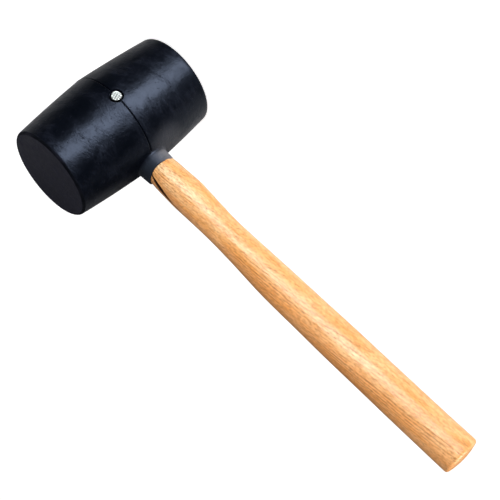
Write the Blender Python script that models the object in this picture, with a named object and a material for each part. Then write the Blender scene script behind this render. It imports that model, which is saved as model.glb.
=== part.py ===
"""Rubber mallet: a moulded rubber head on a hardwood handle, held by one cross nail.

The mallet stands on one striking face. The origin is the centre of that face, +Z runs up along the
head's axis, the handle runs out along -X and the nail is driven in from -Y. Units are metres.
"""

import math

import bmesh
import bpy

# Head: a barrel of round section, widest at the parting line half way up.
HEAD_LENGTH = 0.114
RING_RADIUS = 0.038
FACE_RADIUS = 0.0331
RIM_ROUND = 0.0018
BARREL_CROWN = 0.00045
PARTING_GROOVE_WIDTH = 0.0008
PARTING_GROOVE_DEPTH = 0.0003

# Collar: the short sleeve, moulded in one with the head, that grips the neck of the handle.
COLLAR_REACH = 0.0443
COLLAR_ROOT_RADIUS = 0.0119
COLLAR_LIP_RADIUS = 0.0112
COLLAR_LIP_ROUND = 0.0005

# Handle, measured along X from the head's axis.
TENON_RADIUS = 0.0095
TENON_END = 0.026
TENON_CHAMFER = 0.0015
HANDLE_REACH = 0.3165
BUTT_DOME = 0.0036
BUTT_EDGE_ROUND = 0.0024
HANDLE_FLATNESS = 0.93
SHOULDER_DEPTH = 0.0208
NECK_DEPTH = 0.0226
SWELL_DEPTH = 0.0245
WAIST_DEPTH = 0.0222
GRIP_DEPTH = 0.0267
BUTT_DEPTH = 0.0282
SWELL_AT = 0.072
WAIST_AT = 0.1045
GRIP_AT = 0.176

# Nail: a common nail with a flat head, sunk just below the rubber.
NAIL_LENGTH = 0.064
NAIL_SHANK_RADIUS = 0.0019
NAIL_HEAD_RADIUS = 0.0040
NAIL_HEAD_THICKNESS = 0.0013
NAIL_HEAD_EDGE = 0.0003
NAIL_POINT_LENGTH = 0.006
NAIL_HEAD_SUNK = 0.0006

# Clearance that separate pieces keep between them.
GAP = 0.0003

BARREL_STEPS = 72
COLLAR_STEPS = 36
NAIL_STEPS = 24
HANDLE_STEPS = 40

HEAD_MIDDLE = HEAD_LENGTH / 2


def clear_scene():
    for obj in list(bpy.data.objects):
        bpy.data.objects.remove(obj, do_unlink=True)


def material(name, colour, roughness, metallic=0.0):
    """A plain Principled material."""
    mat = bpy.data.materials.new(name)
    mat.use_nodes = True
    shader = mat.node_tree.nodes["Principled BSDF"]
    shader.inputs["Base Color"].default_value = (*colour, 1.0)
    shader.inputs["Roughness"].default_value = roughness
    shader.inputs["Metallic"].default_value = metallic
    mat.diffuse_color = (*colour, 1.0)
    return mat


def link(obj, parent):
    bpy.context.scene.collection.objects.link(obj)
    obj.parent = parent
    return obj


def turned(name, profile, steps, parent):
    """A solid turned about Z from (radius, height) points that run down its outer side."""
    mesh = bpy.data.meshes.new(name)
    points = [(radius, 0.0, height) for radius, height in profile]
    edges = [(i, i + 1) for i in range(len(points) - 1)]
    mesh.from_pydata(points, edges, [])
    obj = link(bpy.data.objects.new(name, mesh), parent)
    screw = obj.modifiers.new("Turn", "SCREW")
    screw.axis = "Z"
    screw.steps = steps
    screw.render_steps = steps
    screw.use_merge_vertices = True
    screw.merge_threshold = 0.00001
    screw.use_smooth_shade = True
    return obj


def as_cutter(obj):
    obj.hide_render = True
    obj.display_type = "WIRE"
    return obj


def combine(obj, other, operation):
    boolean = obj.modifiers.new(operation.capitalize(), "BOOLEAN")
    boolean.operation = operation
    boolean.solver = "EXACT"
    boolean.object = other


def shade_round(obj, angle_deg=40.0):
    """Smooth shading with creases kept sharp, for a mesh whose modifiers do the rest."""
    mesh = obj.data
    mesh.shade_smooth()
    mesh.set_sharp_from_angle(angle=math.radians(angle_deg))


def arc(centre, radius, start_deg, end_deg, steps):
    """Points along an arc in the profile plane, both ends included."""
    points = []
    for i in range(steps + 1):
        a = math.radians(start_deg + (end_deg - start_deg) * i / steps)
        points.append((centre[0] + radius * math.cos(a), centre[1] + radius * math.sin(a)))
    return points


def barrel_radius(height):
    """Radius of the barrel: a cone either side of the ring, with a slight crown along each side."""
    t = abs(height - HEAD_MIDDLE) / HEAD_MIDDLE
    return RING_RADIUS - (RING_RADIUS - FACE_RADIUS) * t + BARREL_CROWN * 4 * t * (1 - t)


def barrel_profile():
    """Outer side of the barrel from the top face down to the bottom face."""
    half_groove = PARTING_GROOVE_WIDTH / 2
    rim = FACE_RADIUS - RIM_ROUND
    rows = 6
    heights = [
        HEAD_MIDDLE + half_groove + (HEAD_MIDDLE - RIM_ROUND - half_groove) * (1 - i / rows)
        for i in range(rows + 1)
    ]
    upper = arc((rim, HEAD_LENGTH - RIM_ROUND), RIM_ROUND, 90, 15, 5)
    upper += [(barrel_radius(z), z) for z in heights[1:]]
    lower = [(radius, HEAD_LENGTH - z) for radius, z in reversed(upper)]
    groove = [(RING_RADIUS - PARTING_GROOVE_DEPTH, HEAD_MIDDLE)]
    return [(0.0, HEAD_LENGTH)] + upper + groove + lower + [(0.0, 0.0)]


def rubber_head(parent, rubber):
    """The barrel and its collar as one moulding, with a blind socket and the nail's hole."""
    head = turned("rubber_head", barrel_profile(), BARREL_STEPS, parent)
    head.data.materials.append(rubber)

    lip = COLLAR_LIP_RADIUS - COLLAR_LIP_ROUND
    sleeve = [(0.0, COLLAR_REACH)]
    sleeve += arc((lip, COLLAR_REACH - COLLAR_LIP_ROUND), COLLAR_LIP_ROUND, 90, 0, 3)
    sleeve += [(COLLAR_ROOT_RADIUS, RING_RADIUS - 0.004), (COLLAR_ROOT_RADIUS, 0.02), (0.0, 0.02)]
    collar = as_cutter(turned("collar_body", sleeve, COLLAR_STEPS, parent))
    collar.location.z = HEAD_MIDDLE
    collar.rotation_euler.y = math.radians(-90)
    combine(head, collar, "UNION")
    combine(head, nail_hole(parent), "DIFFERENCE")

    socket_radius = TENON_RADIUS + GAP
    socket_end = -TENON_END - GAP
    hole = [
        (0.0, COLLAR_REACH + 0.005),
        (socket_radius, COLLAR_REACH + 0.005),
        (socket_radius, socket_end + TENON_CHAMFER),
        (socket_radius - TENON_CHAMFER, socket_end),
        (0.0, socket_end),
    ]
    socket = as_cutter(turned("socket_cutter", hole, COLLAR_STEPS, parent))
    socket.location.z = HEAD_MIDDLE
    socket.rotation_euler.y = math.radians(-90)
    combine(head, socket, "DIFFERENCE")
    return head


def nail_hole(parent):
    """Cutter for the nail's blind hole and the seat of its head, wider than the nail by the gap."""
    shank = NAIL_SHANK_RADIUS + GAP
    seat = NAIL_HEAD_RADIUS + GAP
    top = RING_RADIUS + 0.002
    seat_floor = RING_RADIUS - NAIL_HEAD_SUNK - NAIL_HEAD_THICKNESS - GAP
    tip = RING_RADIUS - NAIL_HEAD_SUNK - NAIL_LENGTH - 2 * GAP
    profile = [(0.0, top), (seat, top), (seat, seat_floor), (shank, seat_floor)]
    profile += [(shank, tip + NAIL_POINT_LENGTH), (0.0, tip)]
    cutter = as_cutter(turned("nail_hole_cutter", profile, NAIL_STEPS, parent))
    cutter.location.z = HEAD_MIDDLE
    cutter.rotation_euler.x = math.radians(90)
    return cutter


def nail(parent, steel):
    """A common nail: flat head with a broken edge, straight shank, tapered point."""
    top = RING_RADIUS - NAIL_HEAD_SUNK
    under = top - NAIL_HEAD_THICKNESS
    tip = top - NAIL_LENGTH
    profile = [
        (0.0, top),
        (NAIL_HEAD_RADIUS - NAIL_HEAD_EDGE, top),
        (NAIL_HEAD_RADIUS, top - NAIL_HEAD_EDGE),
        (NAIL_HEAD_RADIUS, under + NAIL_HEAD_EDGE),
        (NAIL_SHANK_RADIUS, under),
        (NAIL_SHANK_RADIUS, tip + NAIL_POINT_LENGTH),
        (0.0, tip),
    ]
    obj = turned("nail", profile, NAIL_STEPS, parent)
    obj.location.z = HEAD_MIDDLE
    obj.rotation_euler.x = math.radians(90)
    obj.data.materials.append(steel)
    return obj


def smooth_step(t):
    return t * t * (3 - 2 * t)


def handle_depth(reach):
    """Depth of the handle, along the head's axis, at a distance from that axis."""
    knots = [
        (COLLAR_REACH + GAP, SHOULDER_DEPTH),
        (COLLAR_REACH + 0.005, NECK_DEPTH),
        (SWELL_AT, SWELL_DEPTH),
        (WAIST_AT, WAIST_DEPTH),
        (GRIP_AT, GRIP_DEPTH),
        (HANDLE_REACH, BUTT_DEPTH),
    ]
    for (x0, d0), (x1, d1) in zip(knots, knots[1:]):
        if reach <= x1:
            return d0 + (d1 - d0) * smooth_step(max(0.0, (reach - x0) / (x1 - x0)))
    return BUTT_DEPTH


def handle_stations():
    """(reach, half depth, half width) along the handle, from the tenon's end to the butt's edge."""
    stations = [
        (-TENON_END, TENON_RADIUS - TENON_CHAMFER, TENON_RADIUS - TENON_CHAMFER),
        (-TENON_END + TENON_CHAMFER, TENON_RADIUS, TENON_RADIUS),
        (COLLAR_REACH + GAP, TENON_RADIUS, TENON_RADIUS),
    ]
    start = COLLAR_REACH + 2 * GAP
    body_end = HANDLE_REACH - BUTT_DOME - BUTT_EDGE_ROUND
    rows = 20
    for i in range(rows + 1):
        reach = start + (body_end - start) * (i / rows) ** 1.15
        depth = handle_depth(reach)
        width = depth * (1 - (1 - HANDLE_FLATNESS) * smooth_step(min(1.0, i / 5)))
        stations.append((reach, depth / 2, width / 2))
    return stations


def butt_stations():
    """Rings round the rounded edge and over the shallow dome at the butt."""
    edge_from = HANDLE_REACH - BUTT_DOME - BUTT_EDGE_ROUND
    half = handle_depth(edge_from) / 2
    stations = []
    for angle in (30, 60, 80):
        a = math.radians(angle)
        inset = BUTT_EDGE_ROUND * (1 - math.cos(a))
        stations.append((edge_from + BUTT_EDGE_ROUND * math.sin(a), half - inset))
    flat = stations[-1]
    for share in (0.75, 0.45, 0.2):
        rise = (HANDLE_REACH - flat[0]) * (1 - share**2)
        stations.append((flat[0] + rise, flat[1] * share))
    return [(reach, radius, radius * HANDLE_FLATNESS) for reach, radius in stations]


def handle(parent, wood, cutter):
    """The handle in one piece: tenon, shoulder, swelled neck, waist, grip and domed butt."""
    mesh = bpy.data.meshes.new("handle")
    bm = bmesh.new()
    rings = []
    for reach, half_depth, half_width in handle_stations() + butt_stations():
        ring = []
        for k in range(HANDLE_STEPS):
            a = 2 * math.pi * k / HANDLE_STEPS
            ring.append(bm.verts.new((-reach, half_width * math.cos(a), half_depth * math.sin(a))))
        rings.append([bm.edges.new((ring[k], ring[k - 1])) for k in range(HANDLE_STEPS)])
    for inner, outer in zip(rings, rings[1:]):
        bmesh.ops.bridge_loops(bm, edges=inner + outer)
    for end, reach in ((rings[0], -TENON_END), (rings[-1], HANDLE_REACH)):
        centre = bm.verts.new((-reach, 0.0, 0.0))
        for edge in end:
            bm.faces.new((edge.verts[0], edge.verts[1], centre))
    bmesh.ops.recalc_face_normals(bm, faces=bm.faces)
    bm.to_mesh(mesh)
    bm.free()

    obj = link(bpy.data.objects.new("handle", mesh), parent)
    obj.location.z = HEAD_MIDDLE
    obj.data.materials.append(wood)
    shade_round(obj)
    combine(obj, cutter, "DIFFERENCE")
    return obj


def main():
    clear_scene()
    rubber = material("black_rubber", (0.022, 0.023, 0.028), 0.55)
    wood = material("lacquered_wood", (0.72, 0.43, 0.18), 0.38)
    steel = material("zinc_plated_steel", (0.72, 0.73, 0.71), 0.32, 1.0)

    mallet = bpy.data.objects.new("mallet", None)
    bpy.context.scene.collection.objects.link(mallet)

    rubber_head(mallet, rubber)
    handle(mallet, wood, bpy.data.objects["nail_hole_cutter"])
    nail(mallet, steel)


main()
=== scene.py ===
"""Rubber mallet: the looks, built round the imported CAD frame.

The head, the handle and the nail are fine meshes that stand for the CAD nodes of the same names. Units are
metres, in the CAD frame: the mallet stands on one striking face, +Z runs up the head's axis, the handle runs
out along -X and the nail is driven in from -Y.
"""

import math

import bmesh
import bpy
import numpy as np
from mathutils import Matrix, Vector


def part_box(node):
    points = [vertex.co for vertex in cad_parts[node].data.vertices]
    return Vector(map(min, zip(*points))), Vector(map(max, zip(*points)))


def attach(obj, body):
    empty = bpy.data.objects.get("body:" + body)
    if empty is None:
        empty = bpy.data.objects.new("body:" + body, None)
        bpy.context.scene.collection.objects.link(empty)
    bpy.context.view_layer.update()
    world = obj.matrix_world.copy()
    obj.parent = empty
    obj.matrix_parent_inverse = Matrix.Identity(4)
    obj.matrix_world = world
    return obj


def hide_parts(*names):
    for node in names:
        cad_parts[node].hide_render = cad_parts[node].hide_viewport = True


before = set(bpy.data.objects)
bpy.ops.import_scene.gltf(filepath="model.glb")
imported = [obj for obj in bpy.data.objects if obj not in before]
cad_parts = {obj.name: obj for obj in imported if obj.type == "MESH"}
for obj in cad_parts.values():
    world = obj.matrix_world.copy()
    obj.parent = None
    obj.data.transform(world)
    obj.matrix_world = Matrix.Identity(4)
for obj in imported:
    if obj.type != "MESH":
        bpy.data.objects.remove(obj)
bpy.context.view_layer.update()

HEAD_LO, HEAD_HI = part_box("rubber_head")
HANDLE_LO, HANDLE_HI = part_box("handle")
NAIL_LO, NAIL_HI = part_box("nail")

MM = 0.001
QUARTER = math.radians(90)

# Barrel: from the CAD node's box and the design's own sizes.
MIDDLE = (HEAD_LO.z + HEAD_HI.z) / 2
HALF_LENGTH = (HEAD_HI.z - HEAD_LO.z) / 2
RING_RADIUS = HEAD_HI.x
FACE_RADIUS = 33.1 * MM
RIM_ROUND = 2.0 * MM
BARREL_CROWN = 0.45 * MM

# Collar: a tapering sleeve, set a little low, with its lip drawn out in a shallow wave.
COLLAR_REACH = -HEAD_LO.x
COLLAR_ROOT_RADIUS = 12.1 * MM
COLLAR_LIP_RADIUS = 11.45 * MM
COLLAR_LIP_ROUND = 0.6 * MM
COLLAR_FILLET = 1.2 * MM
COLLAR_DROP = 0.5 * MM
LIP_STRETCH = 0.7 * MM
LIP_WAVE = 1.0 * MM
LIP_WAVE_TURN = math.radians(24)
LIP_DRAWN_LENGTH = 6.0 * MM

# Handle, measured along -X from the head's axis. The tenon sits low in the head.
TENON_END = HANDLE_HI.x
TENON_RADIUS = 9.5 * MM
TENON_DROP = 1.2 * MM
HANDLE_REACH = -HANDLE_LO.x
HANDLE_FLATNESS = 0.93
BUTT_DOME = 1.4 * MM
BUTT_ROUND = 2.4 * MM

# Socket in the head: a wide mouth, a taper, then a bore that clears the tenon.
SOCKET_MOUTH_RADIUS = 10.45 * MM
SOCKET_MOUTH_DEPTH = 3.0 * MM
SOCKET_RADIUS = 9.8 * MM
SOCKET_TAPER_DEPTH = 10.0 * MM
SOCKET_CHAMFER = 1.5 * MM
HIDDEN_GAP = 0.4 * MM

# Nail, and its seat in the head.
NAIL_AT = Vector(((NAIL_LO.x + NAIL_HI.x) / 2, NAIL_LO.y, (NAIL_LO.z + NAIL_HI.z) / 2))
NAIL_RADIUS = (NAIL_HI.x - NAIL_LO.x) / 2
NAIL_LENGTH = NAIL_HI.y - NAIL_LO.y
NAIL_POINT = 6.0 * MM
NAIL_EDGE = 0.3 * MM
SHANK_RADIUS = 1.88 * MM
NAIL_HOLE_RADIUS = 2.1 * MM
NAIL_SEAT_RADIUS = NAIL_RADIUS + 0.62 * MM
NAIL_SEAT_DEPTH = 1.8 * MM
GRID_PITCH = 1.55 * MM
GRID_DEPTH = 0.16 * MM


# ---------------------------------------------------------------- small tools


def smooth(t):
    t = np.clip(t, 0.0, 1.0)
    return t * t * (3 - 2 * t)


def hump(x, centre, width):
    return np.exp(-(((x - centre) / width) ** 2))


def through(knots, x):
    """A smooth curve through (x, value) knots, with the slope at each knot taken from its neighbours."""
    xs = np.array([k[0] for k in knots], float)
    ys = np.array([k[1] for k in knots], float)
    slopes = np.gradient(ys, xs)
    x = np.clip(np.asarray(x, float), xs[0], xs[-1])
    i = np.clip(np.searchsorted(xs, x) - 1, 0, len(xs) - 2)
    width = xs[i + 1] - xs[i]
    t = (x - xs[i]) / width
    a = (1 + 2 * t) * (1 - t) ** 2 * ys[i] + t * (1 - t) ** 2 * width * slopes[i]
    b = t * t * (3 - 2 * t) * ys[i + 1] + t * t * (t - 1) * width * slopes[i + 1]
    return a + b


def add_object(name, data):
    obj = bpy.data.objects.new(name, data)
    bpy.context.scene.collection.objects.link(obj)
    return obj


def ring(bm, count, point):
    """New points round one turn. point gives each one's place from its angle."""
    return [bm.verts.new(point(2 * math.pi * k / count)) for k in range(count)]


def bridge(bm, a, b, skip=()):
    """Quads from one ring to the next, but for the skipped ones. A ring of one point gives triangles."""
    count = max(len(a), len(b))
    for k in range(count):
        if k in skip:
            continue
        n = (k + 1) % count
        corners = (a[k % len(a)], a[n % len(a)], b[n % len(b)], b[k % len(b)])
        bm.faces.new(list(dict.fromkeys(corners)))


def as_object(bm, name, turn=None):
    """Closes the work on a solid: faces turned outward, moved into place, made into an object."""
    bmesh.ops.recalc_face_normals(bm, faces=bm.faces)
    if turn is not None:
        bm.transform(turn)
    mesh = bpy.data.meshes.new(name)
    bm.to_mesh(mesh)
    bm.free()
    return add_object(name, mesh)


def coords(mesh):
    co = np.empty(len(mesh.vertices) * 3)
    mesh.vertices.foreach_get("co", co)
    return co.reshape(-1, 3)


def set_coords(mesh, co):
    mesh.vertices.foreach_set("co", co.reshape(-1))
    mesh.update()


def settle(obj):
    """Makes the modifiers' result the object's own mesh."""
    deps = bpy.context.evaluated_depsgraph_get()
    result = bpy.data.meshes.new_from_object(obj.evaluated_get(deps))
    old = obj.data
    obj.modifiers.clear()
    obj.data = result
    bpy.data.meshes.remove(old)


def cut(obj, cutter):
    """Cuts one object with another, then throws the cutter away. Cut faces keep the cutter's material."""
    boolean = obj.modifiers.new("Cut", "BOOLEAN")
    boolean.operation = "DIFFERENCE"
    boolean.solver = "EXACT"
    boolean.object = cutter
    boolean.material_mode = "TRANSFER"
    bpy.context.view_layer.update()
    settle(obj)
    mesh = cutter.data
    bpy.data.objects.remove(cutter)
    bpy.data.meshes.remove(mesh)


def turned(name, profile, steps, turn):
    """A solid turned about an axis from (radius, height) points. turn carries +Z onto that axis."""
    bm = bmesh.new()
    rings = []
    for radius, height in profile:
        count = steps if radius > 0 else 1
        rings.append(ring(bm, count, lambda a: (radius * math.cos(a), radius * math.sin(a), height)))
    for upper, lower in zip(rings, rings[1:]):
        bridge(bm, lower, upper)
    return as_object(bm, name, turn)


def finish_shading(obj, angle_deg):
    obj.data.shade_smooth()
    obj.data.set_sharp_from_angle(angle=math.radians(angle_deg))


# ---------------------------------------------------------------- the head

# Rows of the cage up the barrel's side, as shares of its half length, and rings across each face.
BARREL_ROWS = (-0.965, -0.76, -0.5, -0.25, 0.0, 0.25, 0.5, 0.76, 0.965)
FACE_RINGS = (FACE_RADIUS - RIM_ROUND, 0.68 * FACE_RADIUS, 0.34 * FACE_RADIUS)
BARREL_COLUMNS = 16

# The cage of the collar: half the opening that it leaves from, then (radius, reach) of each ring.
COLLAR_SKIRT = 16.5 * MM
COLLAR_RINGS = (
    (13.4 * MM, 36.0 * MM),
    (12.0 * MM, 38.8 * MM),
    (11.6 * MM, 41.8 * MM),
    (11.6 * MM, COLLAR_REACH - COLLAR_LIP_ROUND),
    (10.8 * MM, COLLAR_REACH),
    (6.0 * MM, COLLAR_REACH),
)

# Heights over the middle, in mm, of the edge loops that carry the parting line's groove.
GROOVE_LOOPS = (-1.4, -0.8, -0.5, -0.34, -0.2, -0.08, 0.08, 0.2, 0.34, 0.5, 0.8, 1.4)


def barrel_radius(height):
    """Radius of the barrel at a height over its middle: a cone each way with a slight crown."""
    t = np.abs(height) / HALF_LENGTH
    return RING_RADIUS - (RING_RADIUS - FACE_RADIUS) * t + BARREL_CROWN * 4 * t * (1 - t)


def rounded_corner(a, b, radius):
    """Distance to the corner of two half spaces, rounded off."""
    qa, qb = a + radius, b + radius
    return np.minimum(np.maximum(qa, qb), 0) + np.hypot(np.maximum(qa, 0), np.maximum(qb, 0)) - radius


def barrel_distance(p):
    height = p[:, 2] - MIDDLE
    side = np.hypot(p[:, 0], p[:, 1]) - barrel_radius(height)
    return rounded_corner(side, np.abs(height) - HALF_LENGTH, RIM_ROUND)


def collar_distance(p):
    reach = -p[:, 0]
    share = np.clip((reach - RING_RADIUS) / (COLLAR_REACH - RING_RADIUS), 0, 1)
    radius = COLLAR_ROOT_RADIUS + (COLLAR_LIP_RADIUS - COLLAR_ROOT_RADIUS) * share
    across = np.hypot(p[:, 1], p[:, 2] - MIDDLE + COLLAR_DROP)
    sleeve = rounded_corner(across - radius, reach - COLLAR_REACH, COLLAR_LIP_ROUND)
    return np.maximum(sleeve, -reach)


def head_distance(p):
    """Distance to the head's outer surface, the barrel and the collar with a fillet between them."""
    a, b, k = barrel_distance(p), collar_distance(p), COLLAR_FILLET
    return np.maximum(k, np.minimum(a, b)) - np.hypot(np.maximum(k - a, 0), np.maximum(k - b, 0))


def project(co, distance, steps=6):
    """Moves points onto the surface where distance is nought."""
    h = 0.01 * MM
    for _ in range(steps):
        d = distance(co)
        grad = np.stack([distance(co + h * e) - distance(co - h * e) for e in np.eye(3)], 1) / (2 * h)
        co = co - grad * (d / np.maximum((grad**2).sum(1), 1e-9))[:, None]
    return co


def draw_out_lip(co):
    """Draws the collar's lip out, most on two opposite sides, so that its mouth is a shallow wave."""
    y, z = co[:, 1], co[:, 2] - MIDDLE + COLLAR_DROP
    around = np.arctan2(z, -y)
    near_lip = smooth((-co[:, 0] - COLLAR_REACH + LIP_DRAWN_LENGTH) / LIP_DRAWN_LENGTH)
    near_outside = smooth(np.hypot(y, z) / COLLAR_LIP_RADIUS)
    drawn = LIP_STRETCH + LIP_WAVE * (1 - np.cos(2 * (around - LIP_WAVE_TURN)))
    co[:, 0] -= drawn * near_lip * near_outside
    return co


def head_cage():
    """A coarse cage of quads: the barrel's side, its two faces, and the collar drawn out of the side."""
    bm = bmesh.new()
    last = BARREL_COLUMNS - 1
    middle_row = len(BARREL_ROWS) // 2

    def level_ring(radius, height):
        def point(a):
            a += math.pi
            return (radius * math.cos(a), radius * math.sin(a), MIDDLE + height)

        return ring(bm, BARREL_COLUMNS, point)

    side = []
    for share in BARREL_ROWS:
        height = share * HALF_LENGTH
        side.append(level_ring(float(barrel_radius(height)), height))
    for row, (low, high) in enumerate(zip(side, side[1:])):
        beside_collar = row in (middle_row - 1, middle_row)
        bridge(bm, low, high, skip=(0, last) if beside_collar else ())

    for outer, height in ((side[0], -HALF_LENGTH), (side[-1], HALF_LENGTH)):
        for radius in FACE_RINGS:
            inner = level_ring(radius, height)
            bridge(bm, outer, inner)
            outer = inner
        bridge(bm, outer, [bm.verts.new((0, 0, MIDDLE + height))])

    low, mid, high = side[middle_row - 1 : middle_row + 2]
    rim = [mid[1], high[1], high[0], high[last], mid[last], low[last], low[0], low[1]]
    for k, vert in enumerate(rim):
        a = 2 * math.pi * k / len(rim)
        vert.co = (-RING_RADIUS * 0.9, -COLLAR_SKIRT * math.cos(a), MIDDLE + COLLAR_SKIRT * math.sin(a))
    outer = rim
    for radius, reach in COLLAR_RINGS:
        inner = ring(bm, len(rim), lambda a: (-reach, -radius * math.cos(a), MIDDLE + radius * math.sin(a)))
        bridge(bm, outer, inner)
        outer = inner
    bm.faces.new(outer)

    loose = [v for v in bm.verts if not v.link_faces]
    bmesh.ops.delete(bm, geom=loose, context="VERTS")
    return as_object(bm, "rubber_head_fine")


def parting_line(mesh):
    """A thin groove round the middle, where the mould closed, with one half standing a hair proud."""
    bm = bmesh.new()
    bm.from_mesh(mesh)
    for offset in GROOVE_LOOPS:
        geom = set()
        for face in bm.faces:
            c = face.calc_center_median()
            near = abs(c.z - MIDDLE) < 4 * MM
            if near and (c.x > 0 or abs(c.y) > COLLAR_ROOT_RADIUS + 0.5 * MM):
                geom.update([face], face.edges, face.verts)
        plane = Vector((0, 0, MIDDLE + offset * MM))
        bmesh.ops.bisect_plane(bm, geom=list(geom), plane_co=plane, plane_no=(0, 0, 1), dist=1e-6)
    bm.to_mesh(mesh)
    bm.free()

    co = coords(mesh)
    up = (co[:, 2] - MIDDLE) / MM
    fade = np.where(co[:, 0] > 0, 1.0, smooth((np.abs(co[:, 1]) / MM - 12.3) / 1.2))
    fade *= np.abs(up) < 3
    groove = -0.78 * hump(up, 0, 0.34)
    bead = 0.07 * hump(up, 0.75, 0.28) + 0.03 * hump(up, -0.7, 0.25)
    step = 0.06 * np.tanh(up / 0.2) * hump(up, 0, 2.2)
    across = np.hypot(co[:, 0], co[:, 1])
    push = (groove + bead + step) * MM * fade / np.maximum(across, 1e-6)
    co[:, :2] += co[:, :2] * push[:, None]
    set_coords(mesh, co)


def socket_cutter():
    """The hole for the handle, from past the collar's lip to just past the tenon's end."""
    past_lip = COLLAR_REACH + 6 * MM
    profile = (
        (0, past_lip),
        (SOCKET_MOUTH_RADIUS, past_lip),
        (SOCKET_MOUTH_RADIUS, COLLAR_REACH - SOCKET_MOUTH_DEPTH),
        (SOCKET_RADIUS, COLLAR_REACH - SOCKET_TAPER_DEPTH),
        (SOCKET_RADIUS, -TENON_END + 1.0 * MM),
        (SOCKET_RADIUS - SOCKET_CHAMFER, -TENON_END - HIDDEN_GAP),
        (0, -TENON_END - HIDDEN_GAP),
    )
    turn = Matrix.Translation((0, 0, MIDDLE - TENON_DROP)) @ Matrix.Rotation(-QUARTER, 4, "Y")
    return turned("socket", profile, 96, turn)


def nail_seat_cutter():
    """The dimple that the nail's head has sunk, the seat that it sits in, and the hole for its shank."""
    outside = RING_RADIUS + 2 * MM
    top = -NAIL_LO.y
    profile = (
        (0, outside),
        (NAIL_SEAT_RADIUS + 1.5 * MM, outside),
        (NAIL_SEAT_RADIUS + 0.75 * MM, RING_RADIUS - 0.1 * MM),
        (NAIL_SEAT_RADIUS + 0.2 * MM, top - 0.1 * MM),
        (NAIL_SEAT_RADIUS, top - 0.7 * MM),
        (NAIL_SEAT_RADIUS, top - NAIL_SEAT_DEPTH),
        (NAIL_HOLE_RADIUS, top - NAIL_SEAT_DEPTH),
        (NAIL_HOLE_RADIUS, top - NAIL_LENGTH + NAIL_POINT),
        (0, top - NAIL_LENGTH - HIDDEN_GAP),
    )
    turn = Matrix.Translation((NAIL_AT.x, 0, NAIL_AT.z)) @ Matrix.Rotation(QUARTER, 4, "X")
    return turned("nail_seat", profile, 64, turn)


def make_head():
    head = head_cage()
    fine = head.modifiers.new("Fine", "SUBSURF")
    fine.subdivision_type = "SIMPLE"
    fine.levels = 3
    bpy.context.view_layer.update()
    settle(head)
    set_coords(head.data, draw_out_lip(project(coords(head.data), head_distance)))
    parting_line(head.data)
    head.data.materials.append(MATERIALS["rubber"])
    head.data.materials.append(MATERIALS["face"])
    for face in head.data.polygons:
        on_face = abs(abs(face.center.z - MIDDLE) - HALF_LENGTH) < 1.5 * MM
        face.material_index = 1 if on_face else 0
    cut(head, socket_cutter())
    cut(head, nail_seat_cutter())
    finish_shading(head, 38)
    return head


# ---------------------------------------------------------------- the handle

# (reach, depth along the head's axis) and (reach, how far the middle bows below a straight line), in mm.
DEPTH_KNOTS = (
    (44.5, 20.9),
    (48, 22.0),
    (58, 23.2),
    (70, 24.3),
    (80, 23.6),
    (92, 22.5),
    (105, 22.0),
    (118, 22.6),
    (135, 23.9),
    (150, 25.1),
    (165, 25.9),
    (185, 26.4),
    (220, 27.3),
    (260, 27.5),
    (295, 27.9),
    (316.5, 28.1),
)
BOW_KNOTS = (
    (30, 1.2),
    (46, 1.2),
    (56, 1.1),
    (75, 1.15),
    (92, 0.7),
    (108, 0.25),
    (126, 0.0),
    (150, -0.45),
    (185, -0.45),
    (240, -0.15),
    (280, 0.25),
    (316.5, 0.8),
)
HANDLE_STEPS = 128
GRIP_START = 42.5 * MM
GRIP_RINGS = 190
FLATTENING_LENGTH = 80 * MM

# The split: (reach in mm, degrees round from -Y toward +Z, half width in mm, depth in mm).
SPLIT = (
    (42.0, 54.0, 0.20, 1.4),
    (45.0, 60.5, 0.42, 2.4),
    (48.0, 67.0, 0.80, 3.6),
    (51.0, 72.6, 1.20, 4.6),
    (54.0, 77.2, 1.48, 5.2),
    (57.0, 81.0, 1.55, 5.4),
    (60.0, 84.2, 1.40, 5.0),
    (63.0, 86.8, 1.05, 4.2),
    (66.0, 88.8, 0.70, 3.0),
    (70.0, 90.8, 0.38, 1.8),
    (76.0, 92.4, 0.18, 1.0),
    (82.0, 94.0, 0.06, 0.5),
)


def handle_rings():
    """(reach, half depth, half width, bow) of each ring along the handle, from the tenon to the butt."""
    tenon = (
        (-TENON_END, 8.2 * MM),
        (-TENON_END + 1.2 * MM, TENON_RADIUS),
        (34.0 * MM, TENON_RADIUS),
        (38.5 * MM, 9.9 * MM),
        (41.5 * MM, 10.2 * MM),
    )
    rows = [(reach, radius, radius, TENON_DROP) for reach, radius in tenon]
    edge = HANDLE_REACH - BUTT_DOME - BUTT_ROUND
    for i in range(GRIP_RINGS + 1):
        reach = GRIP_START + (edge - GRIP_START) * i / GRIP_RINGS
        half = float(through(DEPTH_KNOTS, reach / MM)) * MM / 2
        flat = 1 - (1 - HANDLE_FLATNESS) * float(smooth((reach - GRIP_START) / FLATTENING_LENGTH))
        bow = float(through(BOW_KNOTS, reach / MM)) * MM
        rows.append((reach, half, half * flat, bow))
    edge_half = half
    for i in range(1, 9):
        a = math.radians(10 * i)
        half = edge_half - BUTT_ROUND * (1 - math.cos(a))
        rows.append((edge + BUTT_ROUND * math.sin(a), half, half * HANDLE_FLATNESS, bow))
    rim_reach, rim_half = rows[-1][:2]
    for i in range(1, 15):
        share = 1 - i / 15
        reach = rim_reach + (HANDLE_REACH - rim_reach) * (1 - share**2)
        rows.append((reach, rim_half * share, rim_half * share * HANDLE_FLATNESS, bow))
    return rows


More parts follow.
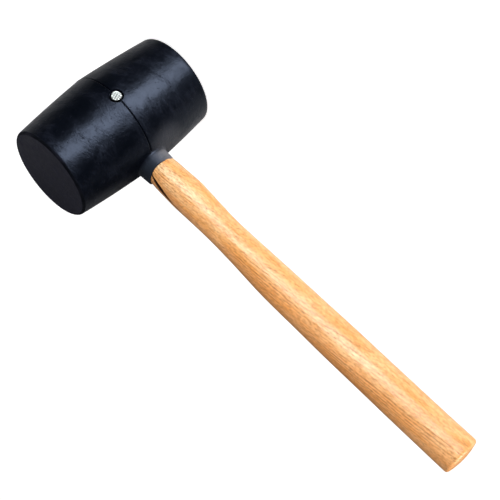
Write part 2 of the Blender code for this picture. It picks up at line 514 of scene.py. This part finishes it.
def hand_finish(co):
    """Adds the faint unevenness that sanding leaves, under a tenth of a millimetre."""
    reach = -co[:, 0] / MM
    around = np.arctan2(co[:, 2] - MIDDLE, -co[:, 1])
    wave = 0.05 * np.sin(reach / 9.0 + 2 * around) + 0.04 * np.sin(reach / 23.0 - 3 * around + 1.0)
    outside = smooth((reach - 47) / 6) * (1 - smooth((reach - 300) / 12))
    co[:, 1] -= np.cos(around) * wave * outside * MM
    co[:, 2] += np.sin(around) * wave * outside * MM
    return co


def split_cutter():
    """A thin tapering wedge that follows the grain round the neck."""
    bm = bmesh.new()
    rows = []
    for reach, turn_deg, half_width, depth in SPLIT:
        a = math.radians(turn_deg)
        surface = float(through(DEPTH_KNOTS, reach)) / 2
        outside = surface + 0.8
        inside = surface - depth
        out = Vector((0, -math.cos(a), math.sin(a)))
        side = Vector((0, math.sin(a), math.cos(a)))
        centre = Vector((-reach * MM, 0, MIDDLE - float(through(BOW_KNOTS, reach)) * MM))
        corners = (
            (outside, half_width * 1.25),
            (outside, -half_width * 1.25),
            (inside, -half_width * 0.25),
            (inside, half_width * 0.25),
        )
        rows.append([bm.verts.new(centre + out * (r * MM) + side * (w * MM)) for r, w in corners])
    for a, b in zip(rows, rows[1:]):
        bridge(bm, a, b)
    bm.faces.new(rows[0])
    bm.faces.new(rows[-1])
    cutter = as_object(bm, "split")
    cutter.data.materials.append(MATERIALS["split_wood_shade"])
    return cutter


def make_handle():
    """The handle as one lofted body, with its slight wander, and the split beside the collar cut into it."""
    bm = bmesh.new()
    rings = []
    for reach, half_depth, half_width, bow in handle_rings():
        middle = MIDDLE - bow

        def point(a):
            return (-reach, -half_width * math.cos(a), middle + half_depth * math.sin(a))

        rings.append(ring(bm, HANDLE_STEPS, point))
    for a, b in zip(rings, rings[1:]):
        bridge(bm, a, b)
    bridge(bm, rings[0], [bm.verts.new((TENON_END, 0, MIDDLE - TENON_DROP))])
    bridge(bm, rings[-1], [bm.verts.new((-HANDLE_REACH, 0, middle))])
    handle = as_object(bm, "handle_fine")
    handle.data.materials.append(MATERIALS["wood"])
    handle.data.materials.append(MATERIALS["split_wood_shade"])
    set_coords(handle.data, hand_finish(coords(handle.data)))
    cut(handle, split_cutter())
    finish_shading(handle, 40)
    return handle


# ---------------------------------------------------------------- the nail

NAIL_STEPS = 96
NAIL_FACE_RINGS = 34


def pressed_grid(x, y):
    """Height of the pressed grid on the nail's head: raised squares between shallow grooves."""
    u = abs(math.sin(math.pi * x / GRID_PITCH))
    v = abs(math.sin(math.pi * y / GRID_PITCH))
    return -GRID_DEPTH * (1 - float(smooth(min(u, v) / 0.66)))


def nail_rings():
    """(radius, height) of each ring under the nail's face: the head's side, gripping rings, shank, point."""
    rings = [
        (NAIL_RADIUS, -NAIL_EDGE),
        (NAIL_RADIUS, -1.05 * MM),
        (NAIL_RADIUS - NAIL_EDGE, -1.3 * MM),
        (SHANK_RADIUS + 0.35 * MM, -1.35 * MM),
        (SHANK_RADIUS, -1.75 * MM),
    ]
    for i in range(8):
        height = -(4.0 + 0.9 * i) * MM
        rings.append((SHANK_RADIUS, height))
        rings.append((SHANK_RADIUS - 0.12 * MM, height - 0.3 * MM))
        rings.append((SHANK_RADIUS, height - 0.6 * MM))
    rings.append((SHANK_RADIUS, -NAIL_LENGTH + NAIL_POINT))
    rings.append((SHANK_RADIUS * 0.12, -NAIL_LENGTH + 0.2 * MM))
    return rings


def make_nail():
    """A common nail: a flat head pressed with a grid, gripping rings under it, and a tapered point."""
    bm = bmesh.new()
    face_radius = NAIL_RADIUS - NAIL_EDGE
    rings = []
    for i in range(NAIL_FACE_RINGS + 1):
        radius = face_radius * i / NAIL_FACE_RINGS
        inside = float(smooth((face_radius - radius) / (0.5 * MM)))

        def on_face(a):
            x, y = radius * math.cos(a), radius * math.sin(a)
            return (x, y, pressed_grid(x, y) * inside)

        rings.append(ring(bm, NAIL_STEPS if i else 1, on_face))
    for radius, height in nail_rings():
        rings.append(ring(bm, NAIL_STEPS, lambda a: (radius * math.cos(a), radius * math.sin(a), height)))
    rings.append([bm.verts.new((0, 0, -NAIL_LENGTH))])
    for a, b in zip(rings, rings[1:]):
        bridge(bm, a, b)
    tilt = Matrix.Rotation(math.radians(20), 4, "Z")
    nail = as_object(bm, "nail_fine", Matrix.Translation(NAIL_AT) @ Matrix.Rotation(QUARTER, 4, "X") @ tilt)
    nail.data.materials.append(MATERIALS["zinc"])
    finish_shading(nail, 35)
    return nail


# ---------------------------------------------------------------- node graphs


class Graph:
    """The node tree of a material or of the world, with one short call for each kind of node."""

    def __init__(self, owner):
        owner.use_nodes = True
        self.owner = owner
        self.tree = owner.node_tree

    def node(self, kind, inputs=None, **settings):
        made = self.tree.nodes.new(kind)
        for key, value in settings.items():
            setattr(made, key, value)
        for key, value in (inputs or {}).items():
            self.feed(made.inputs[key], value)
        return made

    def feed(self, socket, value):
        if isinstance(value, bpy.types.NodeSocket):
            self.tree.links.new(value, socket)
        else:
            socket.default_value = value

    def set(self, **sockets):
        """Feeds the material's shader."""
        shader = self.tree.nodes["Principled BSDF"]
        for name, value in sockets.items():
            self.feed(shader.inputs[name.replace("_", " ")], value)

    def place(self, scale=(1, 1, 1), turn=(0, 0, 0), move=(0, 0, 0)):
        """The object's own coordinates in metres, turned first, then stretched and moved."""
        where = self.node("ShaderNodeTexCoord").outputs["Object"]
        if any(turn):
            where = self.node("ShaderNodeMapping", {"Vector": where, "Rotation": turn}).outputs["Vector"]
        inputs = {"Vector": where, "Location": move, "Scale": scale}
        return self.node("ShaderNodeMapping", inputs).outputs["Vector"]

    def part(self, letter):
        """One of the object's own coordinates in metres."""
        return self.node("ShaderNodeSeparateXYZ", {"Vector": self.place()}).outputs[letter]

    def length(self, vector):
        return self.node("ShaderNodeVectorMath", {0: vector}, operation="LENGTH").outputs["Value"]

    def noise(self, vector, scale=1.0, detail=3, roughness=0.5, distortion=0.0):
        inputs = {"Vector": vector, "Scale": scale, "Detail": detail}
        inputs |= {"Roughness": roughness, "Distortion": distortion}
        return self.node("ShaderNodeTexNoise", inputs).outputs["Fac"]

    def math(self, operation, a, b=0.0):
        return self.node("ShaderNodeMath", {0: a, 1: b}, operation=operation).outputs[0]

    def times(self, a, *others):
        for other in others:
            a = self.math("MULTIPLY", a, other)
        return a

    def plus(self, a, *others):
        for other in others:
            a = self.math("ADD", a, other)
        return a

    def minus(self, a, b):
        return self.math("SUBTRACT", a, b)

    def more(self, a, b):
        """The larger of two values."""
        return self.math("MAXIMUM", a, b)

    def span(self, value, low, high, to_low=0.0, to_high=1.0):
        """Carries low..high smoothly onto to_low..to_high."""
        inputs = {"Value": value, "From Min": low, "From Max": high, "To Min": to_low, "To Max": to_high}
        made = self.node("ShaderNodeMapRange", inputs, interpolation_type="SMOOTHSTEP")
        return made.outputs["Result"]

    def mix(self, factor, a, b):
        """A blend of two colours."""
        return self.node("ShaderNodeMix", {0: factor, 6: a, 7: b}, data_type="RGBA").outputs[2]

    def bump(self, height, strength, distance, normal=None):
        inputs = {"Height": height, "Strength": strength, "Distance": distance}
        if normal is not None:
            inputs["Normal"] = normal
        return self.node("ShaderNodeBump", inputs).outputs["Normal"]


def rgb(r, g, b):
    return (r, g, b, 1.0)


WHITE = rgb(1.0, 1.0, 1.0)


# ---------------------------------------------------------------- materials

GRAIN_SLANT = 0.09
RING_WIDTH = 1.5 * MM
PITH_BACK = 63.4 * MM
PITH_UP = 29.6 * MM
FLOOR_GLOW = 0.73
BOARD_GLOW = 0.9


def rubber_material(name, dark, pale, rough_low, rough_high, gloss):
    """Black moulded rubber: cloudy bloom, strokes left by the mould round the barrel, dents, dust with
    painted sheen, and painted shade on each rim.
    """
    g = Graph(bpy.data.materials.new(name))
    here = g.place()
    clouds = g.noise(here, 62, detail=5, roughness=0.62, distortion=0.6)
    patches = g.noise(here, 190, detail=4, roughness=0.6, distortion=1.2)
    bloom = g.span(g.plus(g.times(clouds, 0.65), g.times(patches, 0.35)), 0.34, 0.68)

    leaning = g.place((110, 110, 540), turn=(0, 0.42, 0))
    leaning = g.noise(leaning, roughness=0.55, distortion=0.6)
    crossing = g.place((130, 130, 600), turn=(0, -0.25, 0), move=(3, 1, 2))
    crossing = g.noise(crossing, roughness=0.55)
    strokes = g.more(g.span(leaning, 0.46, 0.68), g.span(crossing, 0.50, 0.70))
    strokes = g.times(strokes, g.span(clouds, 0.42, 0.60, 0.10, 1.0))
    dents = g.noise(g.place((420, 420, 640), turn=(0, 0.6, 0)), detail=2)
    dents = g.span(dents, 0.66, 0.76)

    # The collar's lower side, and thinly the barrel round the collar's root, are painted paler grey: partly
    # dust, partly painted sheen.
    height = g.part("Z")
    on_collar = g.span(g.part("X"), -RING_RADIUS + 2 * MM, -RING_RADIUS - 2 * MM)
    low_side = g.span(height, MIDDLE + 5 * MM, MIDDLE - 9 * MM)
    dust_and_sheen = g.times(low_side, on_collar, g.span(patches, 0.25, 0.6, 0.6, 1.0))
    from_root = g.length(g.place(move=(33 * MM, 6 * MM, 14 * MM - MIDDLE)))
    dust_and_sheen = g.more(dust_and_sheen, g.span(from_root, 20 * MM, 5 * MM, 0.0, 0.24))

    # The rounding of each rim is painted as a darker, rougher band: painted shade where the rounding would
    # otherwise catch the lights.
    off_middle = g.math("ABSOLUTE", g.minus(height, MIDDLE))
    rim = g.span(off_middle, HALF_LENGTH - 2.0 * MM, HALF_LENGTH - 1.3 * MM)
    rim = g.times(rim, g.span(off_middle, HALF_LENGTH - 0.04 * MM, HALF_LENGTH - 0.22 * MM))
    rim = g.times(rim, g.span(clouds, 0.36, 0.58, 0.55, 1.0))

    colour = g.mix(bloom, dark, pale)
    colour = g.mix(g.times(strokes, 0.12), colour, rgb(0.020, 0.024, 0.040))
    colour = g.mix(g.times(on_collar, 0.40), colour, rgb(0.034, 0.043, 0.060))
    # Paler grey where there is dust and painted sheen.
    colour = g.mix(g.times(dust_and_sheen, 0.85), colour, rgb(0.135, 0.132, 0.140))
    # Painted shade on the rim's rounding.
    colour = g.mix(rim, colour, rgb(0.0008, 0.0011, 0.0020))
    rough = g.span(bloom, 0.0, 1.0, rough_low, rough_high)
    rough = g.plus(rough, g.times(rim, 0.2), g.times(strokes, 0.07), g.times(on_collar, 0.15))

    skin = g.noise(here, 1300, roughness=0.55)
    swell = g.noise(here, 140, detail=2)
    normal = g.bump(swell, 0.28, 1.0 * MM)
    normal = g.bump(skin, 0.22, 0.12 * MM, normal)
    normal = g.bump(strokes, 0.7, 0.13 * MM, normal)
    normal = g.bump(g.minus(1.0, dents), 0.6, 0.18 * MM, normal)
    g.set(Base_Color=colour, Roughness=rough, Normal=normal)
    g.set(Specular_IOR_Level=gloss, Specular_Tint=rgb(0.57, 0.70, 1.0))
    return g.owner


def growth_rings(g):
    """Growth rings, cut at a slant by the handle: 0 in the clear wood to 1 in each dark, porous line."""
    wander = g.noise(g.place((7, 26, 26), move=(0.3, 0.1, 0.7)), detail=2)
    sway = g.noise(g.place((30, 100, 100)), detail=2)
    from_pith = g.length(g.place((0, 1, 1), move=(0, -PITH_BACK, -MIDDLE - PITH_UP)))
    slant = g.times(g.part("X"), GRAIN_SLANT)
    away = g.plus(from_pith, slant, g.times(wander, 5.5 * MM), g.times(sway, 1.6 * MM))
    count = g.times(away, 1 / RING_WIDTH)
    within = g.math("FRACT", count)
    line = g.minus(g.span(within, 0.0, 0.14), g.span(within, 0.24, 0.56))
    which = g.math("FLOOR", count)
    chance = g.node("ShaderNodeTexWhiteNoise", {"W": which}, noise_dimensions="1D").outputs["Value"]
    return g.times(line, g.span(chance, 0.0, 1.0, 0.45, 1.0))


def wood_material():
    """Lacquered ash: slanting rings, blotched tone, fibres and pores along the grain, satin coat."""
    g = Graph(bpy.data.materials.new("lacquered_ash"))
    up = g.minus(g.part("Z"), MIDDLE)

    def streaks(scale, move=(0, 0, 0), detail=2, roughness=0.5, distortion=0.0):
        """Noise drawn out along the leaning grain."""
        where = g.place(scale, turn=(0, math.atan(GRAIN_SLANT), 0), move=move)
        return g.noise(where, detail=detail, roughness=roughness, distortion=distortion)

    # The rings show most on the upper side, and fade in and out along the handle.
    rings = g.times(growth_rings(g), g.span(up, -4 * MM, 6 * MM, 0.22, 1.0))
    rings = g.times(rings, g.span(streaks((15, 70, 70), (7, 3, 1)), 0.38, 0.58, 0.35, 1.0))

    broad = streaks((16, 110, 110), (2, 0, 0), detail=3, roughness=0.55)
    tone = g.mix(g.span(broad, 0.34, 0.66), rgb(0.790, 0.368, 0.104), rgb(0.875, 0.518, 0.236))
    blotch = streaks((90, 330, 330), (5, 1, 3), detail=3, roughness=0.6, distortion=0.5)
    tone = g.mix(g.span(blotch, 0.46, 0.66, 0.0, 0.50), tone, rgb(0.72, 0.290, 0.066))
    straw = streaks((60, 420, 420), (1, 6, 2))
    tone = g.mix(g.span(straw, 0.54, 0.72, 0.0, 0.45), tone, rgb(0.89, 0.60, 0.31))

    # A pale ribbon runs from the collar down the nail's side: pale grain with a painted highlight, fading
    # where the lit highlight takes over. The upper side is painted more orange, as painted shade.
    ribbon_and_highlight = g.times(g.span(up, -1.4 * MM, 0.2 * MM), g.span(up, 5.4 * MM, 3.8 * MM))
    ribbon_and_highlight = g.times(ribbon_and_highlight, g.span(g.part("X"), -85 * MM, -55 * MM), g.span(g.part("Y"), 0.0, -3 * MM))
    ribbon_and_highlight = g.times(ribbon_and_highlight, g.span(streaks((14, 520, 520), (3, 5, 8)), 0.36, 0.52, 0.45, 0.75))
    tone = g.mix(ribbon_and_highlight, tone, rgb(0.86, 0.64, 0.37))
    # Painted shade: the upper side goes more orange.
    tone = g.mix(g.span(up, 7.2 * MM, 11.2 * MM, 0.0, 0.36), tone, rgb(0.95, 0.325, 0.055))

    fibres = streaks((340, 1200, 1200), roughness=0.6)
    tone = g.mix(g.span(fibres, 0.44, 0.62, 0.0, 0.54), tone, rgb(0.50, 0.185, 0.046))
    dashes = streaks((380, 1100, 1100), (4, 2, 1), roughness=0.55)
    broken = g.times(rings, g.span(dashes, 0.40, 0.54, 0.30, 1.0))
    tone = g.mix(g.times(broken, 0.95), tone, rgb(0.31, 0.098, 0.022))
    pores = g.span(streaks((440, 1350, 1350), detail=1), 0.58, 0.68)
    pores = g.times(pores, g.span(rings, 0.0, 0.6, 0.55, 1.0))
    tone = g.mix(g.times(pores, 0.62), tone, rgb(0.23, 0.080, 0.018))
    flecks = g.span(streaks((460, 800, 800), (1, 3, 2), detail=1), 0.745, 0.79)
    tone = g.mix(g.times(flecks, 0.75), tone, rgb(0.15, 0.07, 0.030))

    open_pores = g.more(g.times(broken, 0.7), pores)
    rough = g.span(open_pores, 0.0, 1.0, 0.42, 0.66)
    lumps = streaks((40, 170, 170), detail=3, roughness=0.55)
    normal = g.bump(g.minus(1.0, open_pores), 0.45, 0.14 * MM)
    normal = g.bump(fibres, 0.55, 0.20 * MM, normal)
    normal = g.bump(lumps, 0.40, 1.0 * MM, normal)
    g.set(Base_Color=tone, Roughness=rough, Normal=normal, Coat_Normal=normal)
    g.set(Specular_IOR_Level=0.35, Coat_Weight=0.72, Coat_Roughness=0.22, Coat_IOR=1.5)
    return g.owner


def split_wood_shade_material():
    """Torn, unlacquered wood inside the split, darkened to near black as painted shade deep in the split."""
    g = Graph(bpy.data.materials.new("split_wood_painted_shade"))
    fibres = g.noise(g.place((150, 2600, 2600)), roughness=0.6)
    # Painted shade: near-black browns for the split's shaded depth.
    tone = g.mix(fibres, rgb(0.008, 0.003, 0.0015), rgb(0.055, 0.020, 0.008))
    g.set(Base_Color=tone, Roughness=0.9, Specular_IOR_Level=0.2)
    g.set(Normal=g.bump(fibres, 0.6, 0.3 * MM))
    return g.owner


def zinc_material():
    """Zinc-plated steel: pale, slightly spangled, darker in the pressed grooves, with painted shade round the
    edge.
    """
    g = Graph(bpy.data.materials.new("zinc_plate"))
    spangle = g.noise(g.place(), 1400, detail=2, roughness=0.6)
    wear = g.noise(g.place(), 420, roughness=0.6)
    grooves = g.span(g.part("Y"), NAIL_AT.y + 0.07 * MM, NAIL_AT.y + 0.15 * MM, 0.0, 0.85)
    # Painted shade: a near-black band round the head's edge, set a little off centre, where the seat shades
    # it.
    from_centre = g.length(g.place((1, 0, 1), move=(-NAIL_AT.x, 0, 0.45 * MM - NAIL_AT.z)))
    edge = g.span(from_centre, NAIL_RADIUS - 0.72 * MM, NAIL_RADIUS - 0.46 * MM)
    tone = g.mix(g.span(spangle, 0.35, 0.65), rgb(0.82, 0.90, 0.88), rgb(0.95, 1.0, 0.98))
    tone = g.mix(g.span(wear, 0.60, 0.72, 0.0, 0.4), tone, rgb(0.20, 0.20, 0.19))
    tone = g.mix(grooves, tone, rgb(0.09, 0.10, 0.10))
    tone = g.mix(edge, tone, rgb(0.012, 0.013, 0.015))
    rough = g.plus(g.span(wear, 0.35, 0.7, 0.34, 0.50), g.times(grooves, 0.2))
    g.set(Base_Color=tone, Metallic=1.0, Roughness=rough, Normal=g.bump(spangle, 0.15, 0.05 * MM))
    return g.owner


def floor_material():
    """A white sweep that glows, so that no shade shows on it."""
    g = Graph(bpy.data.materials.new("pale_floor"))
    g.set(Base_Color=rgb(0.86, 0.86, 0.86), Roughness=0.9)
    g.set(Emission_Color=WHITE, Emission_Strength=FLOOR_GLOW)
    return g.owner


def board_material():
    """Grey card with a painted shadow beside the upper half of the head, and a painted glow where the head
    hides it.
    """
    g = Graph(bpy.data.materials.new("board_painted_shadow"))
    along, up = g.part("X"), g.part("Y")
    # Painted shadow of the mallet on the card, lifted a little beside the collar.
    shade = g.times(g.span(up, -50 * MM, -12 * MM), g.span(along, 60 * MM, 0.0))
    by_collar = g.times(g.span(along, -90 * MM, -52 * MM), g.span(up, 0.0, 14 * MM))
    shade = g.times(shade, g.span(by_collar, 0.0, 1.0, 1.0, 0.45))
    tone = g.mix(shade, rgb(0.20, 0.20, 0.20), rgb(0.006, 0.006, 0.009))
    # Painted glow where the head hides the card.
    hidden = g.times(g.span(along, -26 * MM, -18 * MM), g.span(along, 58 * MM, 50 * MM))
    hidden = g.times(hidden, g.span(up, -62 * MM, -52 * MM), g.span(up, 52 * MM, 44 * MM))
    g.set(Base_Color=tone, Roughness=1.0, Specular_IOR_Level=0.0)
    g.set(Emission_Color=WHITE, Emission_Strength=g.times(hidden, BOARD_GLOW))
    return g.owner


BLACK = rgb(0.0006, 0.0011, 0.0025)
BLACK_PALE = rgb(0.0016, 0.0022, 0.0048)
FACE_BLACK = rgb(0.0100, 0.0092, 0.0170)
FACE_PALE = rgb(0.0195, 0.0180, 0.0300)

MATERIALS = {
    "rubber": rubber_material("moulded_rubber", BLACK, BLACK_PALE, 0.29, 0.39, 0.33),
    "face": rubber_material("face_rubber", FACE_BLACK, FACE_PALE, 0.62, 0.75, 0.25),
    "wood": wood_material(),
    "split_wood_shade": split_wood_shade_material(),
    "zinc": zinc_material(),
}


# ---------------------------------------------------------------- stage, light and camera

# The camera's place, fitted to the photo's outline.
LOOK_AT = Vector((-0.1263, 0.0002, 0.0536))
CAMERA_AZIMUTH = -14.06
CAMERA_ELEVATION = 23.60
CAMERA_ROLL = -130.67
CAMERA_DISTANCE = 0.900
CAMERA_LENS = 99.7

# The softboxes face this point from this distance.
AIM = Vector((-0.08, 0, MIDDLE))
LIGHT_DISTANCE = 1.0

# How bright the world is before and behind the mallet, to all but the camera.
WORLD_FRONT = 0.0144
WORLD_BACK = 0.72


def direction(azimuth_deg, elevation_deg):
    """Unit vector from the object toward a viewer at that azimuth and elevation; azimuth 0 is at -Y."""
    a, e = math.radians(azimuth_deg), math.radians(elevation_deg)
    return Vector((math.sin(a) * math.cos(e), -math.cos(a) * math.cos(e), math.sin(e)))


def make_camera():
    data = bpy.data.cameras.new("camera")
    data.lens = CAMERA_LENS
    data.sensor_width = 36.0
    camera = add_object("camera", data)
    back = direction(CAMERA_AZIMUTH, CAMERA_ELEVATION)
    camera.location = LOOK_AT + back * CAMERA_DISTANCE
    upright = (-back).to_track_quat("-Z", "Y").to_matrix().to_4x4()
    turn = upright @ Matrix.Rotation(math.radians(CAMERA_ROLL), 4, "Z")
    camera.rotation_euler = turn.to_euler()
    bpy.context.scene.camera = camera


def softbox(name, right, up, size, roll_deg, watts, lit=()):
    """A soft light that faces the mallet. It falls on the lit objects alone, or on all if none is named.

    The way from the mallet to it is right and up in the camera's picture, and for the rest toward the camera.
    """
    turn = bpy.context.scene.camera.rotation_euler.to_matrix()
    beside, above, back = (turn @ Vector(axis) for axis in ((1, 0, 0), (0, 1, 0), (0, 0, 1)))
    toward = (beside * right + above * up + back * math.sqrt(1 - right**2 - up**2)).normalized()
    data = bpy.data.lights.new(name, "AREA")
    data.shape = "RECTANGLE"
    data.size, data.size_y = size
    data.energy = watts
    light = add_object(name, data)
    across = (beside - toward * beside.dot(toward)).normalized()
    axes = Matrix((across, toward.cross(across), toward)).transposed().to_4x4()
    roll = Matrix.Rotation(math.radians(roll_deg), 4, "Z")
    light.matrix_world = Matrix.Translation(AIM + toward * LIGHT_DISTANCE) @ axes @ roll
    light.visible_camera = False
    if lit:
        group = bpy.data.collections.new(name + "_lit")
        for obj in lit:
            group.objects.link(obj)
        light.light_linking.receiver_collection = group
    return light


def make_world():
    """White to the camera. For all other rays it is a bright sweep behind the mallet and a dim studio."""
    world = bpy.data.worlds.new("studio")
    bpy.context.scene.world = world
    g = Graph(world)
    g.tree.nodes.clear()
    way = g.node("ShaderNodeTexCoord").outputs["Generated"]
    backward = g.node("ShaderNodeSeparateXYZ", {0: way}).outputs["Y"]
    studio = g.span(backward, -0.10, 0.22, WORLD_FRONT, WORLD_BACK)
    seen = g.node("ShaderNodeLightPath").outputs["Is Camera Ray"]
    strength = g.node("ShaderNodeMix", {0: seen, 2: studio, 3: 1.0}, data_type="FLOAT").outputs[0]
    background = g.node("ShaderNodeBackground", {"Color": WHITE, "Strength": strength})
    g.node("ShaderNodeOutputWorld", {"Surface": background.outputs[0]})


def flat_stage(name, radius, place, material):
    bm = bmesh.new()
    bmesh.ops.create_circle(bm, cap_ends=True, segments=96, radius=radius)
    mesh = bpy.data.meshes.new(name)
    bm.to_mesh(mesh)
    bm.free()
    obj = add_object(name, mesh)
    obj.matrix_world = place
    obj.data.materials.append(material)
    obj.visible_shadow = False
    return obj


def make_floor():
    """The floor it stands on. It is kept out of the reflections, which come from the board behind."""
    place = Matrix.Translation((0, 0, HEAD_LO.z - 0.1 * MM))
    floor = flat_stage("floor", 7.0, place, floor_material())
    floor.visible_glossy = False
    return floor


def make_board():
    """An upright board close behind the mallet, seen only in its reflections."""
    place = Matrix.Translation((0, RING_RADIUS + 1 * MM, MIDDLE))
    place = place @ Matrix.Rotation(math.radians(4.3), 4, "Z") @ Matrix.Rotation(QUARTER, 4, "X")
    board = flat_stage("board", 2.5, place, board_material())
    board.visible_camera = False
    board.visible_diffuse = False
    board.visible_transmission = False
    return board


make_camera()
make_world()
floor = make_floor()
board = make_board()
bpy.context.scene.view_settings.view_transform = "Standard"

head = make_head()
handle = make_handle()
nail = make_nail()
# The photo's rubber shows no reflection of the handle.
handle.visible_glossy = False

softbox("head_softbox", 0.42, 0.57, (0.86, 0.60), 47, 14.9, lit=(head, floor, board))
softbox("handle_softbox", 0.060, 0.400, (0.88, 0.60), 24, 11.2, lit=(handle, nail, floor, board))
softbox("butt_softbox", 0.725, -0.665, (0.5, 0.5), 0, 8.5, lit=(handle,))
top = softbox("top_softbox", -0.55, -0.45, (0.8, 0.8), 0, 2.2)
top.visible_glossy = False

for piece, node in ((head, "rubber_head"), (handle, "handle"), (nail, "nail")):
    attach(piece, "root")
    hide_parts(node)
